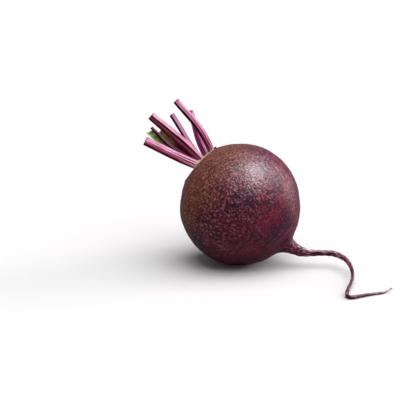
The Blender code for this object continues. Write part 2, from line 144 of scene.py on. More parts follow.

# Stalks: centre line, widths and thicknesses from foot to tip, grooves as (angle, half
# width, depth share), and stripes as (angle, half width, tone at the foot, tone at the tip).
# The stripes are the skin's own with painted light: pale ones along the ridges are partly
# painted highlights, and dark ones on the lower left sides partly painted shade.  Angles are
# in degrees from the front, positive towards the lower left, and a tone goes from 0, dark
# crimson, to 1, pale pink.
STALKS = {
    "stalk_1": {
        "line": [(-1.0, -5.6, 37.3), (-6.3, -5.1, 50.5), (-11.1, -5.2, 64.6),
                 (-14.7, -5.9, 75.0)],
        "width": (6.3, 6.4, 6.3, 6.0),
        "thickness": (4.2, 4.2, 4.0, 3.8),
        "grooves": [(-58, 11, 0.12), (-20, 10, 0.13), (14, 10, 0.12), (52, 11, 0.12),
                    (180, 30, 0.22)],
        "stripes_with_painted_light": [(56, 12, 0.25, 0.20), (28, 10, 0.72, 0.42), (14, 6, 0.66, 0.75),
                    (1, 5, 0.22, 0.56), (-14, 7, 0.88, 0.82), (-26, 5, 0.0, 0.88),
                    (-48, 14, 1.0, 0.80), (-74, 9, 0.50, 0.62)],
    },
    "stalk_2": {
        "line": [(2.7, -0.3, 37.3), (2.5, -1.2, 54.6), (1.7, -1.9, 66.0), (0.0, -2.9, 84.8)],
        "width": (5.8, 6.9, 6.6, 5.4),
        "thickness": (4.0, 4.4, 4.4, 4.2),
        "grooves": [(4, 13, 0.34), (42, 10, 0.12), (-52, 11, 0.08), (180, 26, 0.12)],
        "stripes_with_painted_light": [(64, 9, 0.02, 0.18), (36, 11, 0.38, 0.40), (16, 6, 0.16, 0.04),
                    (6, 4, 0.38, 0.38), (-4, 5, 0.55, 0.12), (-15, 5, 0.0, 0.38),
                    (-28, 8, 0.68, 0.92), (-45, 10, 0.74, 0.66), (-64, 10, 0.85, 0.68)],
    },
    "stalk_3": {
        "line": [(3.4, 5.7, 37.3), (5.2, 5.7, 52.7), (8.1, 5.9, 64.6), (10.9, 6.0, 76.7)],
        "width": (3.4, 3.5, 3.6, 3.7),
        "thickness": (3.1, 3.2, 3.2, 3.2),
        "grooves": [(38, 15, 0.16), (-40, 14, 0.08), (180, 30, 0.12)],
        "stripes_with_painted_light": [(68, 8, 0.30, 0.50), (40, 14, 0.05, 0.02), (8, 9, 0.45, 0.60),
                    (-14, 13, 0.80, 0.94), (-44, 14, 0.62, 0.68)],
    },
    "stalk_4": {
        "line": [(11.3, -2.0, 37.3), (14.3, -2.3, 44.5), (17.6, -2.0, 58.0),
                 (19.3, -0.4, 80.3)],
        "width": (4.4, 4.8, 4.7, 4.3),
        "thickness": (4.0, 4.3, 4.1, 3.6),
        "grooves": [(36, 16, 0.24), (-14, 11, 0.18), (-60, 12, 0.08), (180, 28, 0.14)],
        "stripes_with_painted_light": [(50, 18, 0.02, 0.05), (22, 7, 0.20, 0.60), (6, 8, 0.50, 0.80),
                    (-13, 6, 0.10, 0.40), (-30, 10, 0.62, 0.76), (-56, 14, 0.45, 0.78)],
    },
    "stalk_5": {
        "line": [(7.6, 3.0, 37.3), (9.3, 3.9, 44.8), (13.6, 5.2, 54.8), (21.8, 6.8, 69.5)],
        "width": (5.2, 5.0, 4.4, 3.4),
        "thickness": (3.4, 3.4, 3.2, 2.8),
        "grooves": [(-30, 14, 0.12), (34, 16, 0.16), (180, 30, 0.12)],
        "stripes_with_painted_light": [(58, 12, 0.55, 0.55), (30, 9, 0.30, 0.40), (12, 8, 0.42, 0.58),
                    (-6, 6, 0.10, 0.22), (-24, 9, 0.75, 0.68), (-46, 14, 0.90, 0.75)],
    },
    "young_leaf_stalk": {
        "line": [(-0.2, 3.3, 37.3), (-2.4, 2.9, 49.0), (-4.9, 2.8, 62.2), (-5.3, 2.7, 79.8)],
        "width": (2.6, 2.9, 2.8, 2.1),
        "thickness": (2.4, 2.5, 2.4, 1.9),
        "grooves": [(-40, 20, 0.14), (35, 16, 0.10)],
        "stripes_with_painted_light": [(48, 18, 0.0, 0.0), (16, 9, 0.20, 0.42), (-8, 9, 0.50, 0.58),
                    (-32, 10, 0.45, 0.55), (-62, 14, 0.42, 0.60)],
    },
}
BACK_TONE = 0.35                      # of the skin between and behind the stripes
STALK_GAP = 0.3
STALK_RINGS = 120
STALK_STEPS = 96
STALK_ROOTING = 2.0                   # how far a foot goes on down into the crown
FOOT_FLARE = 0.16
FOOT_FLARE_LENGTH = 2.2

# Young leaf's blade
BLADE_START = 8.0
BLADE_LEFT_WIDTH = 5.0
BLADE_RIGHT_WIDTH = 5.6
BLADE_LEFT_FOOT = 0.25
BLADE_RIGHT_FOOT = 0.55
BLADE_SLANT = 0.05
BLADE_RIGHT_REACH = 0.84
BLADE_FOLD = 1.9
BLADE_WAVE = 0.5
BLADE_SOLID_THICKNESS = 0.7
BLADE_THICKNESS = 0.4
BLADE_RINGS = 150
BLADE_STEPS = 90

# Withered bud
BUD_LINE = [(12.2, 4.0, 37.35), (13.2, 4.3, 38.7), (14.9, 4.6, 39.3), (16.7, 4.7, 39.2)]
BUD_RADII = (1.4, 1.2, 0.95, 0.5)
BUD_RINGS = 44
BUD_STEPS = 40

# Camera: the globe's real width and where the picture shows it
VIEW_ELEVATION = math.radians(17.0)
VIEW_DISTANCE = 1100.0
GLOBE_WIDTH = 82.0
GLOBE_WIDTH_PX = 121.4
GLOBE_CENTRE_PX = (239.3, 204.3)
PICTURE_PX = 400
SENSOR_WIDTH = 36.0


# Curves and fields

def smooth(t):
    """Smooth step from 0 to 1 as t goes from 0 to 1."""
    t = np.clip(t, 0.0, 1.0)
    return t * t * (3.0 - 2.0 * t)


def unit(vectors):
    return vectors / np.linalg.norm(vectors, axis=-1, keepdims=True)


def catmull_rom(points, samples_per_span=24):
    """Samples of the smooth curve that passes through every control point.

    Between points b and c, with neighbours a and d and t from 0 to 1, the curve is half of
    2b + (c - a) t + (2a - 5b + 4c - d) t squared + (3b - a - 3c + d) t cubed.
    """
    points = np.asarray(points, float)
    before = 2.0 * points[0] - points[1]
    after = 2.0 * points[-1] - points[-2]
    knots = np.vstack([before, points, after])
    a, b, c, d = (knots[i:len(knots) - 3 + i, None, :] for i in range(4))
    t = np.linspace(0.0, 1.0, samples_per_span, endpoint=False)[None, :, None]
    spans = 0.5 * (2.0 * b + (c - a) * t + (2.0 * a - 5.0 * b + 4.0 * c - d) * t**2
                   + (3.0 * b - a - 3.0 * c + d) * t**3)
    return np.vstack([spans.reshape(-1, points.shape[1]), points[-1:]])


def lengths_along(curve):
    """Distance travelled along the curve at each of its points."""
    steps = np.linalg.norm(np.diff(curve[:, :3], axis=0), axis=1)
    return np.concatenate([[0.0], np.cumsum(steps)])


def even_along(curve, count):
    """The curve sampled at even steps of length, and the length at each sample."""
    travelled = lengths_along(curve)
    stations = np.linspace(0.0, travelled[-1], count)
    samples = [np.interp(stations, travelled, column) for column in curve.T]
    return np.stack(samples, axis=1), stations


def transported_frames(directions, side):
    """Side and front vectors that follow the directions without twisting about them."""
    sides = []
    for direction in directions:
        side = side - direction * (side @ direction)
        side = side / np.linalg.norm(side)
        sides.append(side)
    sides = np.array(sides)
    return sides, np.cross(sides, directions)


def corner_value(cells, seed):
    """A fixed number from -1 to 1 for each whole-number lattice corner, by integer mixing."""
    x, y, z = (cells[..., k].astype(np.int64).astype(np.uint32) for k in range(3))
    mixed = (x * np.uint32(0x8DA6B343)) ^ (y * np.uint32(0xD8163841)) ^ (z * np.uint32(0xCB1AB31F))
    mixed = mixed ^ np.uint32(seed * 7919 + 17)
    mixed = (mixed ^ (mixed >> np.uint32(15))) * np.uint32(0x2C1B3C6D)
    mixed = (mixed ^ (mixed >> np.uint32(12))) * np.uint32(0x297A2D39)
    mixed = mixed ^ (mixed >> np.uint32(15))
    return mixed.astype(float) / 2147483648.0 - 1.0


def lumps(points, size, seed):
    """Smooth random field from about -1 to 1 whose lumps are size wide.

    Eight lattice corners round each point are blended with smooth-step weights.
    """
    scaled = points / size
    cell = np.floor(scaled)
    weight = smooth(scaled - cell)
    total = 0.0
    for dx in (0, 1):
        for dy in (0, 1):
            for dz in (0, 1):
                corner = np.array((dx, dy, dz))
                share = np.prod(np.where(corner == 1, weight, 1.0 - weight), axis=-1)
                total = total + share * corner_value(cell + corner, seed)
    return total


# Meshes

LEAN_MATRIX = np.array(Euler([math.radians(angle) for angle in LEAN]).to_matrix())
CENTRE = np.array((0.0, 0.0, CENTRE_HEIGHT))


def to_world(local):
    return local @ LEAN_MATRIX.T + CENTRE


def to_local(world):
    return (world - CENTRE) @ LEAN_MATRIX


def grid_normals(points):
    """Outward normals of a grid of rings, from the steps along and round it."""
    along = np.gradient(points, axis=0)
    around = np.roll(points, -1, axis=1) - np.roll(points, 1, axis=1)
    normals = np.cross(along, around)
    length = np.linalg.norm(normals, axis=-1, keepdims=True)
    return normals / np.maximum(length, 1e-9)


def ring_faces(rings, steps, first=0):
    """Outward quads between rings whose steps run clockwise, seen along the piece."""
    ring, step = np.meshgrid(np.arange(rings - 1), np.arange(steps), indexing="ij")
    ahead = (step + 1) % steps
    near, far = first + ring * steps, first + (ring + 1) * steps
    return np.stack([near + step, far + step, far + ahead, near + ahead], axis=-1).reshape(-1, 4)


def fan_faces(pole, ring_start, steps, at_end):
    """Outward triangles from a pole to its ring, at the start or the end of a piece."""
    step = np.arange(steps)
    here, ahead = ring_start + step, ring_start + (step + 1) % steps
    pole = np.full(steps, pole)
    return np.stack((pole, ahead, here) if at_end else (pole, here, ahead), axis=-1)


def tube_faces(rings, steps):
    """Faces of a closed piece whose points are a pole, its rings in order and a pole."""
    last_ring = 1 + (rings - 1) * steps
    return [fan_faces(0, 1, steps, at_end=False), ring_faces(rings, steps, first=1),
            fan_faces(last_ring + steps, last_ring, steps, at_end=True)]


def narrowing_faces(wide_start, wide_steps, thin_start, thin_steps):
    """Outward triangles from a ring of many steps to the next ring, which has few."""
    ratio = wide_steps // thin_steps
    half = ratio // 2
    step = np.arange(wide_steps)
    nearest = ((step + half) // ratio) % thin_steps
    wide = np.stack([wide_start + step, thin_start + nearest,
                     wide_start + (step + 1) % wide_steps], axis=-1)
    thin = np.arange(thin_steps)
    corner = (thin * ratio + ratio - half) % wide_steps
    turn = np.stack([wide_start + corner, thin_start + thin,
                     thin_start + (thin + 1) % thin_steps], axis=-1)
    return np.vstack([wide, turn])


def make_mesh_object(name, points, faces, fields):
    """A smooth-shaded mesh object from points in millimetres, with its fields attached.

    faces is a list of arrays, each with one face a row.  A field is a float for each vertex,
    or a vector where it has three columns.
    """
    mesh = bpy.data.meshes.new(name)
    corners = np.concatenate([rows.ravel() for rows in faces]).astype(np.int32)
    sizes = np.concatenate([np.full(len(rows), rows.shape[1]) for rows in faces])
    starts = np.concatenate([[0], np.cumsum(sizes)[:-1]]).astype(np.int32)
    mesh.vertices.add(len(points))
    mesh.vertices.foreach_set("co", (points * MM).ravel())
    mesh.loops.add(len(corners))
    mesh.loops.foreach_set("vertex_index", corners)
    mesh.polygons.add(len(sizes))
    mesh.polygons.foreach_set("loop_start", starts)
    mesh.update(calc_edges=True)
    for field_name, values in fields.items():
        values = np.asarray(values, float)
        if values.ndim == 2:
            mesh.attributes.new(field_name, "FLOAT_VECTOR", "POINT")
            mesh.attributes[field_name].data.foreach_set("vector", values.ravel())
        else:
            mesh.attributes.new(field_name, "FLOAT", "POINT")
            mesh.attributes[field_name].data.foreach_set("value", values)
    mesh.validate()
    mesh.shade_smooth()
    piece = bpy.data.objects.new(name, mesh)
    bpy.context.scene.collection.objects.link(piece)
    return piece


def dress(piece, material, node):
    """The piece takes its material, moves with the body and stands for the solid node."""
    piece.data.materials.append(material)
    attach(piece, "root")
    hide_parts(node)


# Root

def globe_bow(z):
    """Sideways offset of the globe's rings: the crown and the tail sit off the axis."""
    to_crown = smooth((z - CROWN_BOW[0]) / (CROWN_BOW[1] - CROWN_BOW[0]))
    to_tail = smooth((-z - TAIL_BOW[0]) / (TAIL_BOW[1] - TAIL_BOW[0]))
    return CROWN_OFFSET * to_crown + TAIL_OFFSET * to_tail


def globe_profile():
    """Radius and height of the globe's rings, from the crown's middle to the tail's neck."""
    crown = [(0.0, CROWN_FLOOR), (3.6, CROWN_FLOOR), (7.4, CROWN_FLOOR),
             (CROWN_FLOOR_RADIUS, CROWN_FLOOR),
             (CROWN_LIP_RADIUS - 0.5, CROWN_FLOOR + CROWN_LIP_RISE),
             (CROWN_LIP_RADIUS + 0.2, CROWN_FLOOR + 0.8 * CROWN_LIP_RISE)]
    angles = np.arange(CROWN_EDGE_ANGLE, NECK_ANGLE, RING_ANGLE)
    bulge = 1.0 + TAIL_FULLNESS * np.exp(-((180.0 - angles) / TAIL_FULLNESS_ANGLE)**2)
    z = GLOBE_RADIUS * bulge * np.cos(np.radians(angles))
    near_side_loss = np.where(z > 0.0, globe_bow(z), 0.0)
    radius = GLOBE_RADIUS * bulge * np.sin(np.radians(angles)) - near_side_loss
    return np.vstack([crown, np.stack([radius, z], axis=1)])


def root_rings():
    """Centre, radius, side, front and stations of every ring from the crown to the tip."""
    world = np.array(TAIL)
    tail = catmull_rom(np.hstack([to_local(world[:, :3]), world[:, 3:]]),
                       TAIL_CAD_RINGS_PER_SPAN)
    travelled = lengths_along(tail)
    globe = globe_profile()
    globe = globe[globe[:, 1] > tail[0, 2] + 1.0]
    globe_rows = np.stack([globe_bow(globe[:, 1]), 0.0 * globe[:, 1], globe[:, 1],
                           globe[:, 0]], axis=1)
    join = np.linalg.norm(tail[0, :3] - globe_rows[-1, :3])
    tail_start = CROWN_FLOOR - globe[-1, 1] + join
    stations = np.concatenate([CROWN_FLOOR - globe[:, 1], tail_start + travelled])

    down = np.array((0.0, 0.0, -1.0))
    tangents = unit(np.gradient(tail[:, :3], axis=0))
    turned_over = smooth((travelled - 1.0) / 9.0)[:, None]
    tail_directions = unit((1.0 - turned_over) * down + turned_over * tangents)
    directions = np.vstack([np.tile(down, (len(globe), 1)), tail_directions])

    rows = np.hstack([np.vstack([globe_rows, tail]), stations[:, None], directions])
    fine = catmull_rom(rows, RINGS_PER_ROW)
    fine[:, 3] = np.maximum(fine[:, 3], 0.0)
    sides, fronts = transported_frames(unit(fine[:, 5:8]), np.array((1.0, 0.0, 0.0)))
    surface = lengths_along(np.stack([fine[:, 3], fine[:, 4], 0.0 * fine[:, 4]], axis=1))
    return fine[:, :3], fine[:, 3], sides, fronts, fine[:, 4], surface, tail_start


def broad_relief(s, a, r, tail_start):
    """The solid's own relief, as a factor on the radius.

    A fuller far shoulder and low lobes on the globe, which are sums of cosines of the angle;
    on the tail, twisted ridges and cross wrinkles, also cosines.
    """
    on_tail = smooth((s - tail_start - 2.0) / 14.0)
    lobes = LOBE_DEPTH * (np.cos(2.0 * a + 0.8) + 0.7 * np.cos(3.0 * a + s * 0.03)
                          + 0.5 * np.sin(5.0 * a + s * 0.06))
    lobes = lobes * smooth((s - 1.0) / 16.0)
    z = CROWN_FLOOR - s
    shoulder = (z > 0.0) & (r > CROWN_LIP_RADIUS + 1.0)
    far_side = (0.5 - 0.5 * np.cos(a))**2
    fill = np.where(shoulder, SHOULDER_FILL * globe_bow(z) * far_side / (r + 1e-6), 0.0)
    ridges = TAIL_RIDGE_DEPTH * np.cos(TAIL_RIDGES * a + TAIL_TWIST * s)
    wrinkles = TAIL_WRINKLE_DEPTH * np.sin(1.25 * s + 2.0 * np.sin(a) + a)
    return 1.0 + fill + lobes * (1.0 - on_tail) + (ridges + wrinkles) * on_tail


def root_patch(centres, radii, sides, fronts, stations, surface, steps, tail_start):
    """Points and fields of a run of rings: centre + radius * relief * (cos side + sin front)."""
    a = (0.25 * TAU + TAU * np.arange(steps) / steps)[None, :]
    s = stations[:, None]
    r = radii[:, None]
    reach = (r * broad_relief(s, a, r, tail_start))[..., None]
    round_step = np.cos(a)[..., None] * sides[:, None] + np.sin(a)[..., None] * fronts[:, None]
    points = centres[:, None] + reach * round_step
    straight = np.stack([r * np.cos(a), r * np.sin(a), surface[:, None] + 0.0 * a], axis=-1)
    dark, pale = skin_marks(points, DARK_SCARS, 21), skin_marks(points, PALE_SCRATCHES, 22)
    crown_height, crown = crown_relief(points)
    on_tail = smooth((s - tail_start - 1.0) / 9.0) + 0.0 * a
    heights = skin_relief(points, straight, s + 0.0 * a, tail_start)
    heights = heights - (0.22 * dark - 0.05 * pale) * (1.0 - on_tail) + crown_height
    points = points + heights[..., None] * grid_normals(points)
    fields = {"straight": straight, "on_tail": on_tail, "dark_scar": dark * (1.0 - on_tail),
              "pale_scratch": pale * (1.0 - on_tail), "crown": crown,
              "cork": corky_share(points) * (1.0 - on_tail),
              "speckled": speckled_share(points),
              "worn_and_sheen": worn_and_sheen_share(points) * (1.0 - on_tail)}
    return points.reshape(-1, 3), {
        name: values.reshape(-1, *values.shape[2:]) for name, values in fields.items()}


def skin_relief(points, straight, s, tail_start):
    """Height of the skin's own lumps, dimples and growth rings, in millimetres.

    Random fields of falling size, faded out on the thin tail, plus fine rings round the
    crown and lengthwise creases on the tail.
    """
    on_tail = smooth((s - tail_start - 2.0) / 10.0)
    globe = 0.30 * lumps(points, 17.0, 1) + 0.14 * lumps(points, 7.5, 2)
    globe = globe + 0.07 * lumps(points, 3.4, 3) + 0.05 * lumps(points, 1.9, 7)
    from_crown = np.linalg.norm(points - np.array((CROWN_OFFSET, 0.0, CROWN_FLOOR)), axis=-1)
    near_crown = smooth((24.0 - from_crown) / 10.0) * smooth((from_crown - 12.5) / 2.0)
    rings = 0.10 * np.sin(TAU * from_crown / 2.6 + 1.6 * lumps(points, 9.0, 4))
    globe = globe + near_crown * rings
    creases = 0.12 * lumps(straight * np.array((1.0, 1.0, 0.18)), 1.1, 5)
    knots = 0.10 * lumps(straight, 3.1, 6)
    radius = np.hypot(straight[..., 0], straight[..., 1])
    tail = (creases + knots) * np.clip(radius / 2.0, 0.2, 1.0)
    return globe * (1.0 - on_tail) * smooth(radius / 4.0) + tail * on_tail


def polar_and_azimuth(points):
    """Degrees from the crown's axis, and degrees round it, seen from the globe's centre."""
    polar = np.degrees(np.arccos(unit(points)[..., 2]))
    return polar, np.degrees(np.arctan2(points[..., 1], points[..., 0]))


def corky_share(points):
    """1 where the skin is brown and corky, round the crown, and 0 where it is purple.

    The limit lies further down on the lower left side, and lumps fray it.
    """
    polar, azimuth = polar_and_azimuth(points)
    limit = 64.0 + 13.0 * np.cos(np.radians(azimuth + 155.0))
    limit = limit + 9.0 * lumps(points, 9.0, 31) + 7.0 * lumps(points, 3.2, 32)
    return smooth((limit - polar) / 44.0 + 0.5)


def speckled_share(points):
    """1 where pores are dense and dark, down to 0.3 on the smooth skin near the tail."""
    polar, azimuth = polar_and_azimuth(points)
    limit = 104.0 + 10.0 * np.cos(np.radians(azimuth + 110.0)) + 8.0 * lumps(points, 8.0, 36)
    return 0.3 + 0.7 * smooth((limit - polar) / 40.0 + 0.5)


def worn_and_sheen_share(points):
    """1 in pale bands from the crown to the tail, else 0: rubbed wear, and painted rim sheen at
    right.
    """
    polar, azimuth = polar_and_azimuth(points)
    azimuth = azimuth + 5.0 * lumps(points, 14.0, 37)
    polar = polar + 8.0 * lumps(points, 6.0, 38)
    total = np.zeros(points.shape[:-1])
    for middle, half_width, first, last, strength in WORN_AND_SHEEN_BANDS:
        away = (azimuth - middle + 180.0) % 360.0 - 180.0
        ends = smooth((polar - first) / 22.0) * smooth((last - polar) / 22.0)
        total = np.maximum(total, strength * ends * np.exp(-(away / half_width)**2))
    return total


def skin_marks(points, marks, seed):
    """1 along each mark and 0 away from it, by distance from the segment between its ends."""
    on_globe = GLOBE_RADIUS * unit(points)
    on_globe = on_globe + 0.35 * lumps(points, 2.4, seed)[..., None]
    total = np.zeros(points.shape[:-1])
    for first_polar, first_azimuth, last_polar, last_azimuth, half_width in marks:
        polar = np.radians((first_polar, last_polar))
        azimuth = np.radians((first_azimuth, last_azimuth))
        ends = GLOBE_RADIUS * np.stack([np.sin(polar) * np.cos(azimuth),
                                        np.sin(polar) * np.sin(azimuth), np.cos(polar)], axis=1)
        run = ends[1] - ends[0]
        share = np.clip((on_globe - ends[0]) @ run / (run @ run), 0.0, 1.0)
        nearest = unit(ends[0] + share[..., None] * run) * GLOBE_RADIUS
        gap = np.linalg.norm(on_globe - nearest, axis=-1)
        strength = 0.35 + 0.65 * np.sin(math.pi * np.clip(share, 0.02, 0.98))**0.5
        total = np.maximum(total, strength * np.exp(-(gap / half_width)**2))
    return total


def crown_relief(points):
    """Height of the crown's leaf scars and rough tissue, and how far a point is on it.

    Each scar is a ridge on an arc round the crown's middle: a bell curve across, rounded off
    at both ends of the arc.
    """
    across = points[..., :2] - np.array((CROWN_OFFSET, 0.0))
    radius = np.hypot(across[..., 0], across[..., 1])
    angle = np.degrees(np.arctan2(across[..., 1], across[..., 0]))
    crown = smooth((CROWN_LIP_RADIUS + 0.3 - radius) / 1.2) * (points[..., 2] > 30.0)
    height = 0.34 * lumps(points, 2.1, 33) + 0.18 * lumps(points, 1.1, 34)
    for spec in STALKS.values():
        foot, half_width, half_thick = spec["line"][0], spec["width"][0], spec["thickness"][0]
        gap = np.hypot((points[..., 0] - foot[0]) / (0.5 * half_width),
                       (points[..., 1] - foot[1]) / (0.5 * half_thick)) - 1.0
        collar = COLLAR_HEIGHT * np.exp(-(np.maximum(gap, 0.0) / 0.55)**2)
        height = np.maximum(height, collar + 0.4 * height)
    for ring, first, last, rise, half_width in LEAF_SCARS:
        middle, half_span = 0.5 * (first + last), 0.5 * (last - first)
        away = np.abs((angle - middle + 180.0) % 360.0 - 180.0)
        ends = smooth((half_span + 4.0 - away) / 12.0)
        wander = 0.35 * lumps(points, 3.6, 35)
        height = height + rise * ends * np.exp(-((radius - ring + wander) / half_width)**2)
    return height * crown, crown


def make_root(material):
    """Globe, crown and tail as one closed surface, wide rings first, then the thin ones."""
    centres, radii, sides, fronts, stations, surface, tail_start = root_rings()
    on_globe = stations < tail_start
    thin = int(np.argmax(~on_globe & (radii < THIN_TAIL_RADIUS)))
    wide_part = slice(1, thin)
    thin_part = slice(thin, None)
    patches = []
    for part, steps in ((wide_part, GLOBE_STEPS), (thin_part, TAIL_STEPS)):
        patches.append(root_patch(centres[part], radii[part], sides[part], fronts[part],
                                  stations[part], surface[part], steps, tail_start))
    (wide_points, wide_fields), (thin_points, thin_fields) = patches
    tip = centres[-1] + 0.6 * radii[-1] * unit(centres[-1] - centres[-2])
    points = np.vstack([centres[:1], wide_points, thin_points, tip[None]])
    fields = {name: np.concatenate([wide_fields[name][:1], wide_fields[name],
                                    thin_fields[name], thin_fields[name][-1:]])
              for name in wide_fields}
    fields["grown"] = points

    world = to_world(points)
    world[:, 2] = np.maximum(world[:, 2], 0.0)
    thin_start = 1 + len(wide_points)
    last_ring = len(points) - 1 - TAIL_STEPS
    faces = [
        fan_faces(0, 1, GLOBE_STEPS, at_end=False),
        ring_faces(thin - 1, GLOBE_STEPS, first=1),
        narrowing_faces(thin_start - GLOBE_STEPS, GLOBE_STEPS, thin_start, TAIL_STEPS),
        ring_faces(len(radii) - thin, TAIL_STEPS, first=thin_start),
        fan_faces(len(points) - 1, last_ring, TAIL_STEPS, at_end=True),
    ]
    root = make_mesh_object("root_skin", world, faces, fields)
    dress(root, material, "swollen_root")
    return root


# Stalks

def stalk_rings(spec, count):
    """Rings along a stalk: centres with half width and half thickness, stations and frames."""
    rows = np.hstack([spec["line"], 0.5 * np.array([spec["width"], spec["thickness"]]).T])
    rings, stations = even_along(catmull_rom(rows), count)
    tangents = unit(np.gradient(rings[:, :3], axis=0))
    leans = smooth(stations / 9.0)[:, None]
    tangents = unit((1.0 - leans) * np.array((0.0, 0.0, 1.0)) + leans * tangents)
    fronts = unit(np.array((0.0, -1.0, 0.0)) + tangents * tangents[:, 1:2])
    return rings, stations, tangents, np.cross(tangents, fronts), fronts


def groove_depth(from_front, grooves):
    """Share of the radius cut away at an angle: a bell curve for each groove."""
    depth = 0.0
    for angle, half_width, share in grooves:
        away = (from_front - angle + 180.0) % 360.0 - 180.0
        depth = depth + share * np.exp(-(away / half_width)**2)
    return depth


def stalk_tone_with_light(from_front, share_along, straight, spec, seed):
    """Tone of the skin and painted light, from 0 dark crimson to 1 pale pink, in stripes along the
    stalk.

    Each stripe is a bell curve round the stalk.  The tone is the mean of the stripes' tones
    weighted by these curves, with the back's tone as a weak extra.  Stripes wander a few
    degrees and break up into fibres.
    """
    wander = 3.5 * lumps(straight * np.array((0.0, 0.0, 1.0)), 9.0, seed)
    wander = wander + 2.0 * lumps(straight * np.array((0.25, 0.25, 1.0)), 4.0, seed + 1)
    seen = from_front + wander
    to_tip = smooth((share_along - 0.05) / 0.6)
    weights, total = 0.08, 0.08 * BACK_TONE
    for angle, half_width, at_foot, at_tip in spec["stripes_with_painted_light"]:
        away = (seen - angle + 180.0) % 360.0 - 180.0
        weight = np.exp(-(away / half_width)**2)
        weights = weights + weight
        total = total + weight * (at_foot + (at_tip - at_foot) * to_tip)
    fibres = 0.13 * lumps(straight * np.array((1.0, 1.0, 0.07)), 0.55, seed + 2)
    return total / weights + fibres


def make_stalk(name, material, seed):
    """A cut leaf stalk on the solid's centre line, with its foot rooted in the crown.

    Radius times groove relief, plus fibre ridges, for each angle; the cut end is a shallow
    dish with a rounded rim, and the foot flares.
    """
    spec = STALKS[name]
    rings, stations, tangents, sides, fronts = stalk_rings(spec, STALK_RINGS)
    length = stations[-1]
    lead = np.array([STALK_ROOTING, 0.5 * STALK_ROOTING])
    centres = np.vstack([rings[0, :3] - lead[:, None] * tangents[0], rings[:, :3]])
    stations = np.concatenate([-lead, stations])
    half_width = np.concatenate([rings[:1, 3], rings[:1, 3], rings[:, 3]])
    flatness = np.concatenate([rings[:1, 4] / rings[:1, 3]] * 2 + [rings[:, 4] / rings[:, 3]])
    sides, fronts = (np.vstack([rows[:1], rows[:1], rows]) for rows in (sides, fronts))

    rim = np.array([(0.10, 0.97), (0.12, 0.88), (0.02, 0.76), (-0.10, 0.45)])
    rim_centres = rings[-1, :3] + rim[:, :1] * tangents[-1]
    centres = np.vstack([centres, rim_centres])
    stations = np.concatenate([stations, length + rim[:, 0]])
    shrink = np.concatenate([np.ones(len(half_width)), rim[:, 1]])
    half_width = np.concatenate([half_width, np.full(len(rim), half_width[-1])])
    flatness = np.concatenate([flatness, np.full(len(rim), flatness[-1])])
    sides, fronts = (np.vstack([rows, np.tile(rows[-1], (len(rim), 1))])
                     for rows in (sides, fronts))

    a = (-0.25 * TAU + TAU * np.arange(STALK_STEPS) / STALK_STEPS)[None, :]
    from_front = (np.degrees(a) + 90.0) % 360.0 - 180.0
    s = stations[:, None]
    r = half_width[:, None]
    flare = 1.0 + FOOT_FLARE * np.exp(-np.maximum(s, 0.0) / FOOT_FLARE_LENGTH)
    relief = (1.0 - groove_depth(from_front, spec["grooves"])) * flare
    cap = r * shrink[:, None]
    straight = np.stack([cap * np.cos(a), cap * np.sin(a), s + 0.0 * a], axis=-1)
    fibres = 0.07 * lumps(straight * np.array((1.0, 1.0, 0.05)), 0.62, seed)
    swells = 0.06 * lumps(straight * np.array((0.6, 0.6, 1.0)), 6.0, seed + 5)
    reach = (r * relief + fibres + swells) * shrink[:, None]
    points = (centres[:, None] + (reach * np.cos(a))[..., None] * sides[:, None]
              + (reach * flatness[:, None] * np.sin(a))[..., None] * fronts[:, None])

    share_along = np.clip(s / length, 0.0, 1.0) + 0.0 * a
    tone_with_light = stalk_tone_with_light(from_front, share_along, straight, spec, seed + 10)
    drying = smooth((s - length + 1.1) / 1.1) * (0.55 + 0.45 * shrink[:, None])
    on_cut = (shrink[:, None] < 0.9) + 0.0 * a
    tone_with_light = tone_with_light * (1.0 - 0.5 * drying)

    dish = centres[-1] - 0.05 * tangents[-1]
    all_points = np.vstack([centres[:1], points.reshape(-1, 3), dish[None]])
    near_foot = np.exp(-np.maximum(s, 0.0) / 2.2) + 0.0 * a
    fields = {
        "tone_with_light": np.concatenate([tone_with_light[0, :1], tone_with_light.ravel(), [0.45]]),
        "cut": np.concatenate([[0.0], on_cut.ravel(), [1.0]]),
        "foot": np.concatenate([[1.0], near_foot.ravel(), [0.0]]),
        "straight": np.vstack([[(0.0, 0.0, -STALK_ROOTING)], straight.reshape(-1, 3),
                               [(0.0, 0.0, length)]]),
    }
    piece = make_mesh_object(name + "_skin", to_world(all_points),
                             tube_faces(len(stations), STALK_STEPS), fields)
    dress(piece, material, name)
    return piece


# Young leaf's blade

